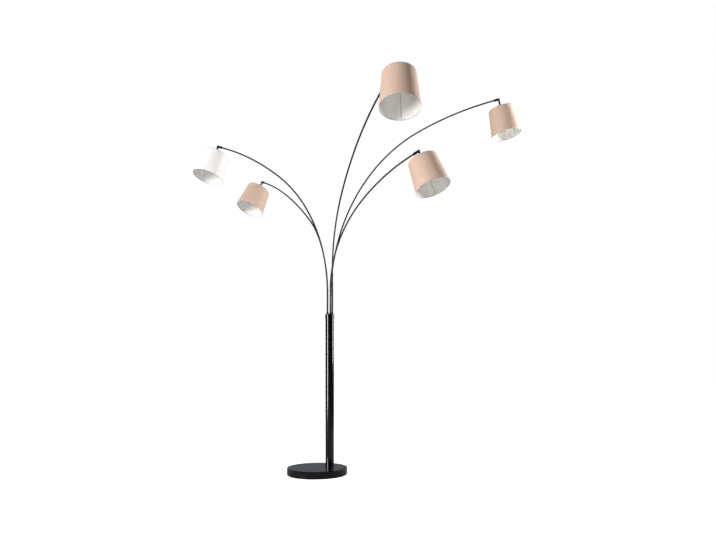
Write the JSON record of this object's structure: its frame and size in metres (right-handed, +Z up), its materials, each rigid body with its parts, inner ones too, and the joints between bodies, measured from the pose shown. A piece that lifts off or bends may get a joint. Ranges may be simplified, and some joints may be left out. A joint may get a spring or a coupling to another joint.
{
  "type": "floor lamp",
  "caption": "Tree floor lamp: round stone base, off-centre black pole and bent swivelling arms, each with a swivelling, tilting tapered drum shade, four in beige fabric and one in white.",
  "frame": {"origin": "centre of the base's underside, on the floor", "axes": "+Z up; -Y is the side of the front shade; +X is to the right seen from there"},
  "size_m": [1.8879, 1.5926, 2.0984],
  "materials": {
    "stone": "polished",
    "pad": "matte",
    "rubber": "matte",
    "zinc": "satin",
    "steel": "satin",
    "black_gloss": "gloss",
    "black_paint": "satin",
    "black_plastic": "matte",
    "white_wire": "satin",
    "fabric": "matte",
    "white_fabric": "matte",
    "cap_metal": "satin",
    "bulb_glass": "gloss"
  },
  "bodies": {
    "base": {"base_disc": "stone", "base_pad": "pad", "base_washer": "zinc", "base_nut": "zinc", "base_stud": "zinc", "pole_foot": "zinc", "pole_tube": "black_gloss", "cord_entry": "rubber", "pole_head": "black_gloss", "socket_bushes": "black_plastic"},
    "arm_right": {"arm_tube_right": "black_paint"},
    "sleeve_right": {"swivel_sleeve_right": "black_paint", "pivot_right": "steel"},
    "head_right": {"stem_right": "black_paint", "lampholder_right": "black_plastic", "shade_ring_right": "black_plastic", "shade_carrier_right": "white_wire", "shade_right": "fabric", "bulb_cap_right": "cap_metal", "bulb_globe_right": "bulb_glass"},
    "arm_front": {"arm_tube_front": "black_paint"},
    "sleeve_front": {"swivel_sleeve_front": "black_paint", "pivot_front": "steel"},
    "head_front": {"stem_front": "black_paint", "lampholder_front": "black_plastic", "shade_ring_front": "black_plastic", "shade_carrier_front": "white_wire", "shade_front": "fabric", "bulb_cap_front": "cap_metal", "bulb_globe_front": "bulb_glass"},
    "arm_low": {"arm_tube_low": "black_paint"},
    "sleeve_low": {"swivel_sleeve_low": "black_paint", "pivot_low": "steel"},
    "head_low": {"stem_low": "black_paint", "lampholder_low": "black_plastic", "shade_ring_low": "black_plastic", "shade_carrier_low": "white_wire", "shade_low": "fabric", "bulb_cap_low": "cap_metal", "bulb_globe_low": "bulb_glass"},
    "arm_left": {"arm_tube_left": "black_paint"},
    "sleeve_left": {"swivel_sleeve_left": "black_paint", "pivot_left": "steel"},
    "head_left": {"stem_left": "black_paint", "lampholder_left": "black_plastic", "shade_ring_left": "black_plastic", "shade_carrier_left": "white_wire", "shade_left": "white_fabric", "bulb_cap_left": "cap_metal", "bulb_globe_left": "bulb_glass"},
    "arm_back": {"arm_tube_back": "black_paint"},
    "sleeve_back": {"swivel_sleeve_back": "black_paint", "pivot_back": "steel"},
    "head_back": {"stem_back": "black_paint", "lampholder_back": "black_plastic", "shade_ring_back": "black_plastic", "shade_carrier_back": "white_wire", "shade_back": "fabric", "bulb_cap_back": "cap_metal", "bulb_globe_back": "bulb_glass"}
  },
  "joints": [
    {"name": "swivel_right", "type": "hinge", "parent": "base", "child": "arm_right", "pos_m": [0.05872, 0.1135, 0.8112], "axis": [0, 0, 1], "range_deg": [-35, 60]},
    {"name": "roll_right", "type": "hinge", "parent": "arm_right", "child": "sleeve_right", "pos_m": [1.00393, 0.45007, 2.09226], "axis": [0.8747, 0.3115, 0.3714], "range_deg": [-55.9, 64.1]},
    {"name": "tilt_right", "type": "hinge", "parent": "sleeve_right", "child": "head_right", "pos_m": [1.00393, 0.45007, 2.09226], "axis": [0.3096, -0.9486, 0.0664], "range_deg": [-16.1, 54.9]},
    {"name": "swivel_front", "type": "hinge", "parent": "base", "child": "arm_front", "pos_m": [0.0684, 0.10018, 0.8112], "axis": [0, 0, 1], "range_deg": [-60, 60]},
    {"name": "roll_front", "type": "hinge", "parent": "arm_front", "child": "sleeve_front", "pos_m": [0.3883, -0.55283, 1.76097], "axis": [0.4303, -0.8784, 0.2079], "range_deg": [-55.7, 64.3]},
    {"name": "tilt_front", "type": "hinge", "parent": "sleeve_front", "child": "head_front", "pos_m": [0.3883, -0.55283, 1.76097], "axis": [-0.9024, -0.4247, 0.0733], "range_deg": [-24.9, 46.1]},
    {"name": "swivel_low", "type": "hinge", "parent": "base", "child": "arm_low", "pos_m": [0.05872, 0.08687, 0.8112], "axis": [0, 0, 1], "range_deg": [-60, 35]},
    {"name": "roll_low", "type": "hinge", "parent": "arm_low", "child": "sleeve_low", "pos_m": [0.49734, -0.15927, 1.55824], "axis": [0.8125, -0.456, 0.3633], "range_deg": [-60.3, 59.7]},
    {"name": "tilt_low", "type": "hinge", "parent": "sleeve_low", "child": "head_low", "pos_m": [0.49734, -0.15927, 1.55824], "axis": [-0.4877, -0.873, -0.0049], "range_deg": [-26.6, 44.4]},
    {"name": "swivel_left", "type": "hinge", "parent": "base", "child": "arm_left", "pos_m": [0.04307, 0.09196, 0.8112], "axis": [0, 0, 1], "range_deg": [-20, 60]},
    {"name": "roll_left", "type": "hinge", "parent": "arm_left", "child": "sleeve_left", "pos_m": [-0.62273, 0.45798, 1.82157], "axis": [-0.8159, 0.4485, 0.3649], "range_deg": [-76.4, 43.6]},
    {"name": "tilt_left", "type": "hinge", "parent": "sleeve_left", "child": "head_left", "pos_m": [-0.62273, 0.45798, 1.82157], "axis": [0.3719, 0.8903, -0.2629], "range_deg": [-12.9, 58.1]},
    {"name": "swivel_back", "type": "hinge", "parent": "base", "child": "arm_back", "pos_m": [0.04307, 0.10841, 0.8112], "axis": [0, 0, 1], "range_deg": [-60, 18]},
    {"name": "roll_back", "type": "hinge", "parent": "arm_back", "child": "sleeve_back", "pos_m": [-0.44689, 0.86288, 1.75041], "axis": [-0.5053, 0.7781, 0.373], "range_deg": [-86.9, 33.1]},
    {"name": "tilt_back", "type": "hinge", "parent": "sleeve_back", "child": "head_back", "pos_m": [-0.44689, 0.86288, 1.75041], "axis": [0.656, 0.6272, -0.4198], "range_deg": [-3.9, 67.1]}
  ]
}
